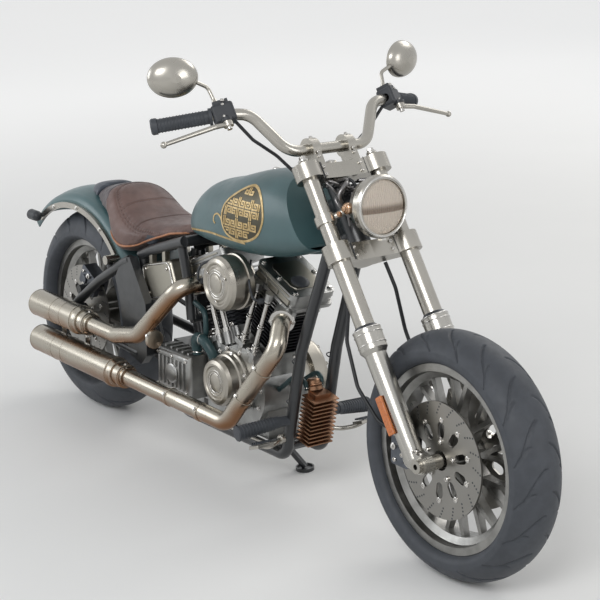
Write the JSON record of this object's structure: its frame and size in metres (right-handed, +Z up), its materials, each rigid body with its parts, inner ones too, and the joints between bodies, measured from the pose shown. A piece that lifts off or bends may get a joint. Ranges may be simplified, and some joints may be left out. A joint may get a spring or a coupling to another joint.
{
  "type": "cruiser motorcycle",
  "caption": "Low cruiser motorcycle leaning on its side stand, with a finned V engine, forked-spoke wheels, wide handlebar, teardrop tank and stacked mufflers; wheels, steering and stand move.",
  "frame": {"origin": "on the floor, at the bottom centre of the machine's bounding box", "axes": "+X forward, +Y to the rider's left, +Z up; the machine leans 5 degrees to its left, on its side stand"},
  "size_m": [2.3488, 0.9394, 1.2709],
  "materials": {
    "frame_paint": "satin black paint",
    "tank_paint": "deep teal-green gloss paint with a gold panel and pin-stripe",
    "satin_metal": "satin nickel, brown heat tint on the exhaust",
    "seat_leather": "brown leather with stitched seams",
    "pad_leather": "dark grey-blue leather",
    "chrome_trim": "polished",
    "case_metal": "silver, cast with machined faces",
    "fin_black": "black fins with bright edges",
    "belt_rubber": "matt",
    "copper_fins": "copper-brown",
    "grip_rubber": "dark grey, matt",
    "caliper_metal": "dark silver",
    "fork_metal": "satin",
    "lamp_glass": "ribbed",
    "mirror_face": "mirror",
    "cable_rubber": "satin",
    "amber_plastic": "amber, prismatic",
    "tyre_rubber": "matt with swept grooves",
    "wheel_metal": "satin grey",
    "disc_steel": "turned"
  },
  "bodies": {
    "chassis": {"frame": "frame_paint", "swingarm": "frame_paint", "rear_fender": "tank_paint", "fender_rails": "satin_metal", "rear_lamps": "satin_metal", "seat": "seat_leather", "seat_pad_rear": "pad_leather", "fuel_tank": "tank_paint", "fuel_cap": "chrome_trim", "oil_tank": "case_metal", "crankcase": "case_metal", "cylinders": "fin_black", "cylinder_heads": "case_metal", "pushrod_tubes": "chrome_trim", "air_cleaner": "chrome_trim", "cam_cover": "chrome_trim", "transmission": "case_metal", "primary_cover": "chrome_trim", "drive_belt": "belt_rubber", "oil_cooler": "copper_fins", "exhaust_pipes": "satin_metal", "mufflers": "satin_metal", "foot_controls": "grip_rubber", "rear_axle": "satin_metal", "rear_caliper": "caliper_metal"},
    "steering": {"upper_clamp": "satin_metal", "lower_clamp": "satin_metal", "bar_risers": "satin_metal", "fork_tubes": "satin_metal", "fork_lowers": "fork_metal", "headlamp": "chrome_trim", "headlamp_lens": "lamp_glass", "handlebar": "satin_metal", "grips": "grip_rubber", "switch_housings": "grip_rubber", "levers": "satin_metal", "mirrors": "chrome_trim", "mirror_glasses": "mirror_face", "front_calipers": "caliper_metal", "front_axle": "satin_metal", "front_cables": "cable_rubber", "reflectors": "amber_plastic"},
    "front_wheel_set": {"front_tyre": "tyre_rubber", "front_wheel": "wheel_metal", "front_discs": "disc_steel"},
    "rear_wheel_set": {"rear_tyre": "tyre_rubber", "rear_wheel": "wheel_metal", "rear_disc_and_pulley": "disc_steel"},
    "stand": {"side_stand": "frame_paint"}
  },
  "joints": [
    {"name": "steering", "type": "hinge", "parent": "chassis", "child": "steering", "pos_m": [0.36373, -0.01129, 0.91024], "axis": [-0.5664, 0.0718, 0.821], "range_deg": [-30, 30]},
    {"name": "front_wheel_spin", "type": "hinge", "parent": "steering", "child": "front_wheel_set", "pos_m": [0.86095, -0.06357, 0.31265], "axis": [0, 0.9962, -0.0872], "continuous": true},
    {"name": "rear_wheel_spin", "type": "hinge", "parent": "chassis", "child": "rear_wheel_set", "pos_m": [-0.84905, -0.06254, 0.3245], "axis": [0, 0.9962, -0.0872], "continuous": true},
    {"name": "side_stand_fold", "type": "hinge", "parent": "chassis", "child": "stand", "pos_m": [0.02295, -0.00846, 0.09351], "axis": [0.2015, 0.8459, 0.4939], "range_deg": [0, 96]}
  ]
}
